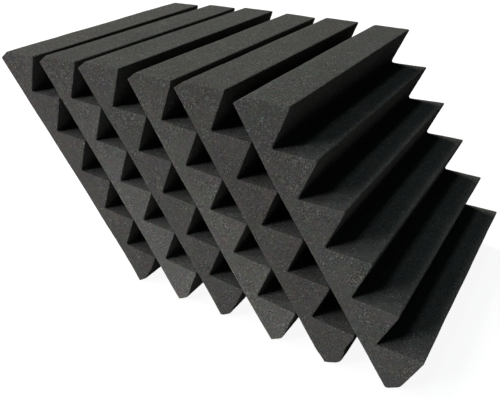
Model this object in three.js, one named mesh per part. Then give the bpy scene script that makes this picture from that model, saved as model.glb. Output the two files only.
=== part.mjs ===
// A set of six loose acoustic foam panels, stood in a row on the floor.
// Each panel is one block of open-cell foam, flat on its glue face and cut to long wedges on
// the other. It stands on the lower edge of its glue face, which its weight presses flat, and
// leans back on the wedge tips of the panel before it.
// Millimetres, +Z up. X runs along the row and Y along the wedges, with the wedges facing +X.
// The origin is on the floor, under the middle of the row.

import * as THREE from 'three';

// Panel
const panelHeight = 300; // across the wedges, from cut edge to cut edge
const panelWidth = 300; // along the wedges
const panelThickness = 50; // from the glue face to the wedge tips
const baseThickness = 15; // from the glue face to where the slopes of two wedges would meet
const wedgeCount = 6;
const tipLand = 0.8; // narrow flat that the cut leaves along each tip
const rootRadius = 2; // rounding along the bottom of each groove
const rootSteps = 4;

// Row
const leanDegrees = [33.1, 33.1, 33.1, 33.4, 33.4, 34.1]; // from upright, one for each panel
const edgePress = 0.8; // how far the standing edge is pressed in, measured upwards
const contactGap = 0.3; // between a glue face and the first tip that it meets

// Foam
const foamColours = ['#4a4745', '#4b4b48', '#474746', '#4c4b47', '#474543', '#494947'];
const foamRoughness = 1;

const wedgePitch = panelHeight / wedgeCount;
const leans = leanDegrees.map((degrees) => THREE.MathUtils.degToRad(degrees));

// Points of a panel's section have x as the distance from the glue face and y as the height
// above the lower cut edge.
function tipEnds(wedge) {
  const middle = (wedge + 1 / 2) * wedgePitch;
  return [-1, 1].map((side) => new THREE.Vector2(panelThickness, middle + (side * tipLand) / 2));
}

function rootPoint(wedge) {
  return new THREE.Vector2(baseThickness, wedge * wedgePitch);
}

// Draws the corner between two straight lines as an arc that touches both.
function roundCorner(outline, before, corner, after, radius) {
  const toBefore = before.clone().sub(corner);
  const toAfter = after.clone().sub(corner);
  const halfAngle = Math.abs(toBefore.angleTo(toAfter)) / 2;
  const room = Math.min(toBefore.length(), toAfter.length()) / 2;
  const fitted = Math.min(radius, room * Math.tan(halfAngle));
  const inward = toBefore.normalize().add(toAfter.normalize()).normalize();
  const centre = corner.clone().addScaledVector(inward, fitted / Math.sin(halfAngle));
  const touch = fitted / Math.tan(halfAngle);
  const start = corner.clone().addScaledVector(toBefore, touch).sub(centre);
  const end = corner.clone().addScaledVector(toAfter, touch).sub(centre);
  const clockwise = start.cross(end) < 0;
  outline.absarc(centre.x, centre.y, fitted, start.angle(), end.angle(), clockwise);
}

// The section starts and ends on the edge that stands on the floor, cut level for that lean.
function panelSection(lean) {
  const pressedUpBack = edgePress / Math.cos(lean);
  const pressedAlongCut = Math.min(edgePress / Math.sin(lean), baseThickness / 2);
  const outline = new THREE.Shape();
  outline.moveTo(0, pressedUpBack);
  outline.lineTo(pressedAlongCut, 0);
  outline.lineTo(baseThickness, 0);
  for (let wedge = 0; wedge < wedgeCount; wedge += 1) {
    const [lowEnd, highEnd] = tipEnds(wedge);
    outline.lineTo(lowEnd.x, lowEnd.y);
    outline.lineTo(highEnd.x, highEnd.y);
    const isLast = wedge === wedgeCount - 1;
    if (!isLast) {
      roundCorner(outline, highEnd, rootPoint(wedge + 1), tipEnds(wedge + 1)[0], rootRadius);
    }
  }
  outline.lineTo(baseThickness, panelHeight);
  outline.lineTo(0, panelHeight);
  outline.closePath();
  return outline;
}

function panelGeometry(lean) {
  const geometry = new THREE.ExtrudeGeometry(panelSection(lean), {
    depth: panelWidth,
    bevelEnabled: false,
    curveSegments: rootSteps,
  });
  geometry.translate(0, 0, -panelWidth / 2);
  geometry.rotateX(Math.PI / 2);
  return geometry;
}

// The glue face of the next panel stops just short of the tip that it meets first.
function footAgainst(footX, lean, nextLean) {
  const reach = [];
  for (let wedge = 0; wedge < wedgeCount; wedge += 1) {
    for (const tip of tipEnds(wedge)) {
      const alongRow = footX + tip.x * Math.cos(lean) - tip.y * Math.sin(lean);
      const up = tip.x * Math.sin(lean) + tip.y * Math.cos(lean);
      reach.push(alongRow + up * Math.tan(nextLean));
    }
  }
  return Math.max(...reach) + contactGap / Math.cos(nextLean);
}

function makePanel(index) {
  const foam = new THREE.MeshStandardMaterial({
    color: foamColours[index],
    roughness: foamRoughness,
    metalness: 0,
  });
  const panel = new THREE.Mesh(panelGeometry(leans[index]), foam);
  panel.name = `wedge_panel_${index + 1}`;
  return panel;
}

// Each panel turns about its standing edge, which lies below the floor by what is pressed in.
const row = new THREE.Group();
let footX = 0;
leans.forEach((lean, index) => {
  if (index > 0) {
    footX = footAgainst(footX, leans[index - 1], lean);
  }
  const stand = new THREE.Group();
  stand.position.set(footX, 0, -edgePress);
  stand.rotation.y = -lean;
  stand.add(makePanel(index));
  row.add(stand);
});

const extent = new THREE.Box3().setFromObject(row, true);
row.position.x = -(extent.min.x + extent.max.x) / 2;

const group = new THREE.Group();
group.add(row);

export default group;
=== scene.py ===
import math

import bmesh
import bpy
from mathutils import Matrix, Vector


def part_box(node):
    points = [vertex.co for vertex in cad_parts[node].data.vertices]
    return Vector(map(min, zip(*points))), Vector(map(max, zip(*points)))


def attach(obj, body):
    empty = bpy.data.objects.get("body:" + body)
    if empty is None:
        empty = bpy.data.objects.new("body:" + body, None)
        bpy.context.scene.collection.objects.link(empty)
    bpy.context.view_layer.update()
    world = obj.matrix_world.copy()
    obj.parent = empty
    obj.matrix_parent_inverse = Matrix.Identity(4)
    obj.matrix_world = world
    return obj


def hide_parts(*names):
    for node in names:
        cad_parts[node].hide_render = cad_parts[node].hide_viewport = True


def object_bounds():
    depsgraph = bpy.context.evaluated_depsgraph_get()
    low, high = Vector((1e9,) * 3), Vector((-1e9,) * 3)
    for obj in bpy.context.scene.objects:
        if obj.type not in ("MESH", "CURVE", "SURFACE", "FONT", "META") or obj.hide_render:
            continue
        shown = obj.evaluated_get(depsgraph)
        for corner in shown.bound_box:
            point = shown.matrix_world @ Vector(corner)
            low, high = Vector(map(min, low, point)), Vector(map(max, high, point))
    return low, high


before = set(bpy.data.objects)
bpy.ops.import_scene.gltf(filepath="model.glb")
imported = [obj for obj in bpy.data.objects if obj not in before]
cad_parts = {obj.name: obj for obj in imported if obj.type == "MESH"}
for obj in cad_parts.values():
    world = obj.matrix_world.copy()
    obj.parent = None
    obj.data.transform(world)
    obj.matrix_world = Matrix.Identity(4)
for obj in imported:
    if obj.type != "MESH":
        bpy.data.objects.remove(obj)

# A row of six loose foam panels, each leaning on the wedges of the one before it.
# Metres, +Z up. The row runs along X, the wedges run along Y.

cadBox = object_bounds()
scene = bpy.context.scene


# Small helpers

def deselectAll():
    for thing in bpy.context.selected_objects:
        thing.select_set(False)


def makeActive(thing):
    deselectAll()
    thing.select_set(True)
    bpy.context.view_layer.objects.active = thing


def applyPlace(thing):
    makeActive(thing)
    bpy.ops.object.transform_apply(location=True, rotation=True, scale=True)


def applyModifier(thing, modifier):
    makeActive(thing)
    bpy.ops.object.modifier_apply(modifier=modifier.name)


def selectVertices(thing, wanted):
    bpy.ops.mesh.select_mode(type='VERT')
    bpy.ops.mesh.select_all(action='DESELECT')
    inEdit = bmesh.from_edit_mesh(thing.data)
    for vertex in inEdit.verts:
        vertex.select = wanted(vertex.co)
    inEdit.select_flush_mode()
    bmesh.update_edit_mesh(thing.data)


def selectEdgesAlongY(thing):
    bpy.ops.mesh.select_mode(type='EDGE')
    bpy.ops.mesh.select_all(action='DESELECT')
    inEdit = bmesh.from_edit_mesh(thing.data)
    for edge in inEdit.edges:
        way = edge.verts[1].co - edge.verts[0].co
        edge.select_set(abs(way.y) > 0.9 * way.length)
    bmesh.update_edit_mesh(thing.data)


def cutAcross(point, normal):
    bpy.ops.mesh.select_all(action='SELECT')
    bpy.ops.mesh.bisect(plane_co=point, plane_no=normal, threshold=1e-6)


# Camera

camera = {
    'lens': 39.09,
    'shift': (0.0554, 0.0498),
    'place': (0.2991, -0.5213, 0.4051),
    'turn': (57.647, 1.681, 33.815),     # degrees
    'sight': 60,                         # how far it sees, past the edge of the floor
}


def makeCamera():
    bpy.ops.object.camera_add(location=camera['place'],
                              rotation=[math.radians(angle) for angle in camera['turn']])
    eye = bpy.context.object
    eye.name = 'eye'
    eye.data.lens = camera['lens']
    eye.data.shift_x, eye.data.shift_y = camera['shift']
    eye.data.clip_end = camera['sight']
    scene.camera = eye


makeCamera()
print('camera placed')


# Foam

# Sizes are in metres. A tone is the share that is added to the foam's colour, and a pair runs
# from the darkest to the palest.
foam = {
    'cell': 0.0014,              # size of one open cell
    'cellTones': (-0.44, 0.28),  # in the pit of a cell, and on the struts round it
    'grain': 0.0012,             # size of the fine grain
    'grainTones': (-0.25, 0.25),
    'speck': 0.0011,             # size of one speck
    'dullSpecks': 0.84,          # share of the specks that get no painted glint; the rest are painted paler as highlights
    'paintedGlintTones': (0, 1.3),
    'patch': 0.016,              # size of the areas with more or less grain
    'patchGrain': (0.4, 1.35),   # how many times the grain, in the least and the most of them
    'cloud': 0.045,              # size of the faint clouds of tone
    'cloudTimes': (0.94, 1.06),  # how many times the colour, in the darkest and the palest
    'edgeHighlightFrom': (0.52, 0.60),    # pointiness at which the painted edge highlight starts and where it is palest
    'edgeHighlightTimes': 1.55,           # how many times the colour, where the painted highlight is palest
    'hue': 0.007,                # size of the faint clouds of colour
    'hueAmount': 0.22,
    'bump': 0.7,
    'poreDepth': 0.0005,
}


def addTexture(material, kind, size, detail=None):
    texture = material.node_tree.nodes.new(kind)
    texture.inputs['Scale'].default_value = 1 / size
    if detail is not None:
        texture.inputs['Detail'].default_value = detail
    place = material.node_tree.nodes['Texture Coordinate']
    material.node_tree.links.new(place.outputs['Object'], texture.inputs['Vector'])
    return texture


def spread(material, source, given, wanted):
    ranged = material.node_tree.nodes.new('ShaderNodeMapRange')
    ends = ('From Min', 'From Max', 'To Min', 'To Max')
    for name, value in zip(ends, (*given, *wanted)):
        ranged.inputs[name].default_value = value
    material.node_tree.links.new(source, ranged.inputs['Value'])
    return ranged.outputs['Result']


def combine(material, operation, first, second):
    combined = material.node_tree.nodes.new('ShaderNodeMath')
    combined.operation = operation
    for socket, value in zip(combined.inputs, (first, second)):
        if isinstance(value, (int, float)):
            socket.default_value = value
        else:
            material.node_tree.links.new(value, socket)
    return combined.outputs['Value']


def makeFoam(name, tone, fade):
    material = bpy.data.materials.new(name)
    material.use_nodes = True
    nodes, links = material.node_tree.nodes, material.node_tree.links
    shader = nodes['Principled BSDF']
    shader.inputs['Roughness'].default_value = 1.0
    shader.inputs['Specular IOR Level'].default_value = 0.0
    nodes.new('ShaderNodeTexCoord')

    # a dark pit in the middle of each cell, paler struts round it
    cells = addTexture(material, 'ShaderNodeTexVoronoi', foam['cell'])
    pits = spread(material, cells.outputs['Distance'], (0.1, 0.75), foam['cellTones'])

    # fine grain, and a few specks painted paler as glints (painted highlights)
    grain = addTexture(material, 'ShaderNodeTexNoise', foam['grain'], detail=2)
    fine = spread(material, grain.outputs['Fac'], (0.3, 0.7), foam['grainTones'])
    specks = addTexture(material, 'ShaderNodeTexVoronoi', foam['speck'])
    chance = nodes.new('ShaderNodeSeparateColor')
    links.new(specks.outputs['Color'], chance.inputs['Color'])
    paintedGlints = spread(material, chance.outputs['Red'], (foam['dullSpecks'], 1), foam['paintedGlintTones'])

    # the grain is stronger in some areas than in others
    patches = addTexture(material, 'ShaderNodeTexNoise', foam['patch'], detail=2)
    amount = spread(material, patches.outputs['Fac'], (0.35, 0.65), foam['patchGrain'])
    uneven = combine(material, 'ADD', combine(material, 'ADD', pits, fine), paintedGlints)
    uneven = combine(material, 'MULTIPLY', uneven, amount)

    drifting = addTexture(material, 'ShaderNodeTexNoise', foam['cloud'], detail=3)
    clouds = spread(material, drifting.outputs['Fac'], (0.3, 0.7), foam['cloudTimes'])
    strength = combine(material, 'MULTIPLY', combine(material, 'ADD', uneven, 1.0), clouds)

    # painted highlight: the cut edges are painted paler, where they catch the light
    form = nodes.new('ShaderNodeNewGeometry')
    edges = spread(material, form.outputs['Pointiness'], foam['edgeHighlightFrom'], (1, foam['edgeHighlightTimes']))
    strength = combine(material, 'MULTIPLY', strength, edges)

    # painted light from below: the whole panel is painted paler at its lower edge than at its upper
    # one
    height = nodes.new('ShaderNodeSeparateXYZ')
    links.new(nodes['Texture Coordinate'].outputs['Object'], height.inputs['Vector'])
    uplit = spread(material, height.outputs['Z'], (0, cadBox[1].z), fade)
    strength = combine(material, 'MULTIPLY', strength, uplit)

    # the dye leans slightly to one hue here and to another there
    drift = addTexture(material, 'ShaderNodeTexNoise', foam['hue'], detail=3)
    hues = nodes.new('ShaderNodeMix')
    hues.data_type = 'RGBA'
    hues.inputs['Factor'].default_value = foam['hueAmount']
    hues.inputs['A'].default_value = (0.5, 0.5, 0.5, 1)
    links.new(drift.outputs['Color'], hues.inputs['B'])
    tinted = nodes.new('ShaderNodeVectorMath')
    tinted.operation = 'MULTIPLY'
    tinted.inputs[1].default_value = [2 * channel for channel in tone]
    links.new(hues.outputs['Result'], tinted.inputs[0])
    colour = nodes.new('ShaderNodeVectorMath')
    colour.operation = 'SCALE'
    links.new(tinted.outputs['Vector'], colour.inputs[0])
    links.new(strength, colour.inputs['Scale'])
    links.new(colour.outputs['Vector'], shader.inputs['Base Color'])

    bump = nodes.new('ShaderNodeBump')
    bump.inputs['Strength'].default_value = foam['bump']
    bump.inputs['Distance'].default_value = foam['poreDepth']
    links.new(uneven, bump.inputs['Height'])
    links.new(bump.outputs['Normal'], shader.inputs['Normal'])
    return material


# Wedge panels

panel = {
    'height': 0.300,         # across the wedges
    'width': 0.3005,         # along the wedges
    'thickness': 0.0506,     # before the tips are rounded
    'base': 0.015,           # from the glue face to the bottom of the grooves
    'wedges': 6,
    'tipRound': 0.0022,
    'edgeRound': 0.0006,
    'roundSteps': 4,         # mesh steps round a tip and a groove
    'sharp': 45,             # degrees; what turns more than this is an edge
    'footEdge': 0.003,       # what counts as the foot's inner edge
    'splayReach': 0.022,     # how far round that edge the foam follows it
    'footReach': 0.013,      # how far round the foot's near corner the wear goes
    'slopeSteps': 16,        # mesh steps down one slope
    'baseSteps': 6,
    'widthCuts': (11, 15),   # 12 parts, then 16 in each
    'soften': 2,             # rounds of smoothing over all edges
    'edgePress': 0.0008,     # how far the standing edge is pressed into the floor
    'swell': 0.0009,         # slow unevenness of the cut
    'swellSize': 0.060,
    'crumb': 0.00035,        # fine unevenness of the cut
    'crumbSize': 0.0022,
}

# From the far left to the front right. Lean is in degrees from upright, and the pair after the
# tone is how many times the tone, on the floor and at the top: painted light from below, which
# makes each panel paler at its lower edge. Each panel is bent at five levels from its lower
# edge to its upper one: bow is towards the wedges, at the near end and at the far end, lift is
# towards the upper edge, droop is how far the tips hang down, press how far they are pushed in
# and slide how far the near end is cut back. Tilt is how much more the far upper corner is
# lifted than the near one, splay how far the foot's inner edge is pushed out along the floor,
# and wear is the rounds of smoothing at the foot's near corner.
panels = [
    {'name': 'wedge_panel_1', 'lean': 33.1, 'tone': (0.063, 0.060, 0.058), 'fade': (1.05, 0.95),
     'nearBow': (0.001, 0.0015, 0, -0.0025, -0.005),
     'farBow': (0.0005, 0.0005, -0.0005, -0.002, -0.0035),
     'lift': (0, -0.001, -0.001, 0, 0),
     'droop': (0.004, 0.003, 0.0015, -0.0005, -0.0015),
     'press': (0.002, 0.001, 0, -0.001, 0),
     'slide': (0.0015, 0.0005, 0, -0.0005, -0.0005),
     'tilt': 0.003, 'splay': -0.0025, 'wear': 2},
    {'name': 'wedge_panel_2', 'lean': 33.1, 'tone': (0.083, 0.0815, 0.078), 'fade': (1.33, 0.67),
     'nearBow': (0.0025, 0.001, 0.001, 0.0005, 0),
     'farBow': (0.0005, 0.0005, 0.0005, 0, 0),
     'lift': (-0.0005, 0.0005, 0.0005, 0.001, 0),
     'droop': (0.001, 0.0015, 0.002, 0.0015, -0.0015),
     'press': (0.0015, -0.0005, -0.0005, 0, 0),
     'slide': (-0.002, 0.0005, 0.0005, 0.0005, 0.0005),
     'tilt': 0.001, 'splay': 0.001, 'wear': 1},
    {'name': 'wedge_panel_3', 'lean': 33.1, 'tone': (0.063, 0.062, 0.059), 'fade': (1.10, 0.90),
     'nearBow': (-0.002, 0.002, 0.0015, 0.0015, -0.0005),
     'farBow': (0.0005, 0.001, 0.001, 0.0005, -0.001),
     'lift': (0, 0.0015, 0.002, 0.001, 0.002),
     'droop': (0.0015, 0.002, 0.0015, 0.0005, -0.0005),
     'press': (0.0005, 0.001, 0, -0.0005, -0.001),
     'slide': (0.003, 0.0005, 0.0005, 0.0005, 0),
     'tilt': 0, 'splay': -0.001, 'wear': 1},
    {'name': 'wedge_panel_4', 'lean': 33.4, 'tone': (0.0815, 0.080, 0.075), 'fade': (1.30, 0.70),
     'nearBow': (0.0035, -0.0005, 0.0005, 0.0015, 0.0035),
     'farBow': (0, 0, 0.0005, 0.001, 0.0015),
     'lift': (-0.001, 0.002, 0.002, 0.0005, -0.0015),
     'droop': (0.0015, 0.0025, 0.003, 0.003, -0.001),
     'press': (0.003, 0.001, 0.0015, 0.0025, 0.0005),
     'slide': (-0.0035, -0.0005, 0.0005, 0.0005, 0.001),
     'tilt': 0, 'splay': 0.0005, 'wear': 1},
    {'name': 'wedge_panel_5', 'lean': 33.4, 'tone': (0.0615, 0.0595, 0.0565), 'fade': (1.08, 0.92),
     'nearBow': (0.001, -0.0005, -0.001, -0.0005, 0.0005),
     'farBow': (0, -0.0005, -0.001, -0.001, -0.002),
     'lift': (0, 0.001, 0.002, 0.0015, 0.001),
     'droop': (0.0025, 0.0005, -0.001, 0.0005, 0.001),
     'press': (-0.0005, -0.001, -0.0005, -0.0005, -0.0005),
     'slide': (-0.003, -0.0005, 0, 0, 0.0005),
     'tilt': -0.001, 'splay': 0.005, 'wear': 8},
    {'name': 'wedge_panel_6', 'lean': 34.1, 'tone': (0.066, 0.065, 0.062), 'fade': (1.16, 0.84),
     'nearBow': (-0.001, -0.0015, -0.0015, -0.0015, 0.0015),
     'farBow': (0.001, 0.0015, -0.0005, -0.002, 0),
     'lift': (-0.0005, -0.002, 0.0005, 0, -0.0005),
     'droop': (0.001, 0.0005, -0.001, 0.0005, 0.002),
     'press': (-0.001, -0.001, -0.002, -0.001, 0.0005),
     'slide': (-0.001, -0.0015, -0.0005, -0.0005, 0),
     'tilt': 0, 'splay': 0, 'wear': 1},
]


def makeBlank():
    height, width, thickness, base = (panel[key] for key in ('height', 'width', 'thickness', 'base'))
    half = height / panel['wedges'] / 2
    step = half / panel['slopeSteps']
    slopeStep = math.hypot(thickness - base, half) / panel['slopeSteps']
    near = 1e-5

    # the near end, first as a rectangle
    bpy.ops.mesh.primitive_plane_add(size=1, location=(thickness / 2, -width / 2, height / 2),
                                     rotation=(math.radians(90), 0, 0))
    blank = bpy.context.object
    blank.scale = (thickness, height, 1)
    applyPlace(blank)
    bpy.ops.object.mode_set(mode='EDIT')

    # saw-tooth: every other point of the front edge goes back to the base
    for row in range(1, 2 * panel['wedges']):
        cutAcross((0, 0, row * half), (0, 0, 1))
    selectVertices(blank, lambda point: point.x > thickness - near
                   and round(point.z / half) % 2 == 0)
    bpy.ops.transform.translate(value=(base - thickness, 0, 0))
    bpy.ops.mesh.select_all(action='SELECT')
    bpy.ops.mesh.dissolve_limited(angle_limit=math.radians(1))

    # rounded roots and tips
    selectVertices(blank, lambda point: abs(point.x - base) < near
                   and near < point.z < height - near)
    bpy.ops.mesh.bevel(offset=slopeStep, segments=panel['roundSteps'], affect='VERTICES')
    selectVertices(blank, lambda point: point.x > thickness - near)
    bpy.ops.mesh.bevel(offset=panel['tipRound'], segments=panel['roundSteps'], affect='VERTICES')

    # an even grid that runs through the points of the outline
    for row in range(1, 2 * panel['wedges'] * panel['slopeSteps']):
        cutAcross((0, 0, row * step), (0, 0, 1))
    for column in range(1, panel['baseSteps'] + 1):
        cutAcross((base * column / panel['baseSteps'], 0, 0), (1, 0, 0))
    for column in range(1, panel['slopeSteps']):
        across = base + (thickness - base) * column / panel['slopeSteps']
        cutAcross((across, 0, 0), (1, 0, 0))

    # pulled out along the wedges
    bpy.ops.mesh.select_all(action='SELECT')
    bpy.ops.mesh.extrude_region_move(TRANSFORM_OT_translate={'value': (0, width, 0)})
    for cuts in panel['widthCuts']:
        selectEdgesAlongY(blank)
        bpy.ops.mesh.subdivide(number_cuts=cuts)
    bpy.ops.mesh.select_all(action='SELECT')
    bpy.ops.mesh.normals_make_consistent(inside=False)

    # the cut edges are slightly worn
    bpy.ops.mesh.select_all(action='DESELECT')
    bpy.ops.mesh.edges_select_sharp(sharpness=math.radians(panel['sharp']))
    bpy.ops.mesh.bevel(offset=panel['edgeRound'], segments=2, affect='EDGES')
    bpy.ops.mesh.select_all(action='SELECT')
    bpy.ops.mesh.vertices_smooth(factor=0.5, repeat=panel['soften'])
    bpy.ops.object.mode_set(mode='OBJECT')
    bpy.ops.object.shade_smooth_by_angle(angle=math.radians(panel['sharp']))
    return blank


def bend(piece, settings):
    levels = len(settings['lift'])
    bpy.ops.object.add(type='LATTICE', location=(panel['thickness'] / 2, 0, panel['height'] / 2))
    cage = bpy.context.object
    cage.scale = (panel['thickness'], panel['width'], panel['height'])
    cage.data.points_u, cage.data.points_v, cage.data.points_w = 2, 2, levels
    cage.data.interpolation_type_w = 'KEY_CARDINAL'
    for point in cage.data.points:
        level = round((point.co.z + 0.5) * (levels - 1))
        bow = settings['nearBow' if point.co.y < 0 else 'farBow'][level]
        lift = settings['lift'][level] + settings['tilt'] * point.co.y * level / (levels - 1)
        if point.co.x > 0:
            bow -= settings['press'][level]
            lift -= settings['droop'][level]
        if point.co.y < 0:
            point.co_deform.y += settings['slide'][level] / panel['width']
        point.co_deform.x += bow / panel['thickness']
        point.co_deform.z += lift / panel['height']
    bending = piece.modifiers.new('bend', 'LATTICE')
    bending.object = cage
    applyModifier(piece, bending)
    bpy.data.objects.remove(cage)


def wearFoot(piece, settings):
    lean = math.radians(settings['lean'])
    pushed = Vector((math.cos(lean), 0, -math.sin(lean))) * settings['splay']
    corner = Vector((panel['base'], -panel['width'] / 2, 0))
    bpy.ops.object.mode_set(mode='EDIT')
    selectVertices(piece, lambda point: math.hypot(point.x - corner.x, point.z) < panel['footEdge'])
    bpy.ops.transform.translate(value=pushed, use_proportional_edit=True,
                                proportional_edit_falloff='SMOOTH',
                                proportional_size=panel['splayReach'])
    selectVertices(piece, lambda point: (point - corner).length < panel['footReach'])
    bpy.ops.mesh.vertices_smooth(factor=0.5, repeat=settings['wear'])
    bpy.ops.object.mode_set(mode='OBJECT')


def roughen(piece, name, size, depth, detail, middle):
    pattern = bpy.data.textures.new(name, 'CLOUDS')
    pattern.noise_scale = size
    pattern.noise_depth = detail
    uneven = piece.modifiers.new(name, 'DISPLACE')
    uneven.texture = pattern
    uneven.texture_coords = 'LOCAL'
    uneven.strength = depth
    uneven.mid_level = middle
    applyModifier(piece, uneven)


def makePanel(blank, settings):
    makeActive(blank)
    bpy.ops.object.duplicate(linked=False)
    piece = bpy.context.object
    piece.name = 'foam_' + settings['name']
    wearFoot(piece, settings)
    bend(piece, settings)

    # leaned back about the lower edge of its glue face
    lean = math.radians(settings['lean'])
    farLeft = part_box(settings['name'])[0].x
    foot = farLeft + panel['height'] * math.sin(lean)
    piece.rotation_euler = (0, -lean, 0)
    piece.location = (foot, 0, -panel['edgePress'])
    applyPlace(piece)

    roughen(piece, 'swell', panel['swellSize'], panel['swell'], detail=1, middle=0.5)
    roughen(piece, 'crumb', panel['crumbSize'], panel['crumb'], detail=2, middle=1.0)

    # pressed flat where it stands
    bpy.ops.object.mode_set(mode='EDIT')
    selectVertices(piece, lambda point: point.z < 0)
    bpy.ops.transform.resize(value=(1, 1, 0), center_override=(0, 0, 0))
    bpy.ops.object.mode_set(mode='OBJECT')

    piece.data.materials.clear()
    piece.data.materials.append(makeFoam('foam_' + settings['name'],
                                         settings['tone'], settings['fade']))
    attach(piece, 'root')
    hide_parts(settings['name'])
    print(piece.name, len(piece.data.polygons), 'faces')


deselectAll()
blank = makeBlank()
for settings in panels:
    makePanel(blank, settings)
bpy.data.objects.remove(blank)
print('panels made')


# Floor, world and lamps

studio = {
    'floorSize': 24,
    'floorTone': 0.15,           # what the floor shows of the light and the shadow
    'floorGlow': 0.92,           # what it adds for the camera
    'floorBounce': 0.35,         # how pale it is for all other light
    'sky': 0.027,
    'skyColour': (0.71, 1, 0.93, 1),
    # name: place, width and height, power, colour
    'lamps': {
        'key': ((-1.90, -3.65, 2.98), (1.6, 1.6), 121, (0.92, 0.98, 1)),
        'left': ((-2.60, -1.60, 3.00), (1.4, 1.4), 52, (1, 0.97, 0.92)),
        'rear': ((-1.50, 0.80, 2.20), (1.0, 1.0), 66, (0.99, 1, 0.91)),
        'top': ((-0.15, 0.00, 2.50), (0.5, 0.5), 7, (0.77, 0.96, 1)),
        'low': ((-1.20, -1.30, 0.15), (0.4, 0.2), 14.2, (1, 0.93, 0.93)),
    },
}


def seenDirectly(nodes, links):
    path = nodes.new('ShaderNodeLightPath')
    glossy = nodes.new('ShaderNodeMath')
    glossy.operation = 'MAXIMUM'
    links.new(path.outputs['Is Camera Ray'], glossy.inputs[0])
    links.new(path.outputs['Is Glossy Ray'], glossy.inputs[1])
    clear = nodes.new('ShaderNodeMath')
    clear.operation = 'MAXIMUM'
    links.new(glossy.outputs['Value'], clear.inputs[0])
    links.new(path.outputs['Is Transmission Ray'], clear.inputs[1])
    return clear.outputs['Value']


def makeFloor():
    bpy.ops.mesh.primitive_plane_add(size=studio['floorSize'])
    floor = bpy.context.object
    floor.name = 'studio_floor'
    material = bpy.data.materials.new('studio_floor')
    material.use_nodes = True
    nodes, links = material.node_tree.nodes, material.node_tree.links
    nodes.clear()
    shown = nodes.new('ShaderNodeBsdfDiffuse')
    shown.inputs['Color'].default_value = [studio['floorTone']] * 3 + [1]
    glow = nodes.new('ShaderNodeEmission')
    glow.inputs['Strength'].default_value = studio['floorGlow']
    seen = nodes.new('ShaderNodeAddShader')
    links.new(shown.outputs['BSDF'], seen.inputs[0])
    links.new(glow.outputs['Emission'], seen.inputs[1])
    bounced = nodes.new('ShaderNodeBsdfDiffuse')
    bounced.inputs['Color'].default_value = [studio['floorBounce']] * 3 + [1]
    choice = nodes.new('ShaderNodeMixShader')
    links.new(seenDirectly(nodes, links), choice.inputs['Fac'])
    links.new(bounced.outputs['BSDF'], choice.inputs[1])
    links.new(seen.outputs['Shader'], choice.inputs[2])
    output = nodes.new('ShaderNodeOutputMaterial')
    links.new(choice.outputs['Shader'], output.inputs['Surface'])
    floor.data.materials.append(material)


def makeWorld():
    world = bpy.data.worlds.new('studio')
    world.use_nodes = True
    nodes, links = world.node_tree.nodes, world.node_tree.links
    nodes.clear()
    white = nodes.new('ShaderNodeBackground')
    white.inputs['Color'].default_value = (1, 1, 1, 1)
    white.inputs['Strength'].default_value = 1
    sky = nodes.new('ShaderNodeBackground')
    sky.inputs['Color'].default_value = studio['skyColour']
    sky.inputs['Strength'].default_value = studio['sky']
    choice = nodes.new('ShaderNodeMixShader')
    links.new(seenDirectly(nodes, links), choice.inputs['Fac'])
    links.new(sky.outputs['Background'], choice.inputs[1])
    links.new(white.outputs['Background'], choice.inputs[2])
    output = nodes.new('ShaderNodeOutputWorld')
    links.new(choice.outputs['Shader'], output.inputs['Surface'])
    scene.world = world


def makeLamp(name, place, size, power, colour):
    bpy.ops.object.light_add(type='AREA', location=place)
    lamp = bpy.context.object
    lamp.name = name
    lamp.data.shape = 'ELLIPSE'
    lamp.data.size, lamp.data.size_y = size
    lamp.data.energy = power
    lamp.data.color = colour
    lamp.visible_camera = False
    middle = (cadBox[0] + cadBox[1]) / 2
    lamp.rotation_euler = (lamp.location - middle).to_track_quat('Z', 'Y').to_euler()


makeFloor()
makeWorld()
for name, settings in studio['lamps'].items():
    makeLamp(name, *settings)
scene.view_settings.view_transform = 'Standard'
print('studio lit')
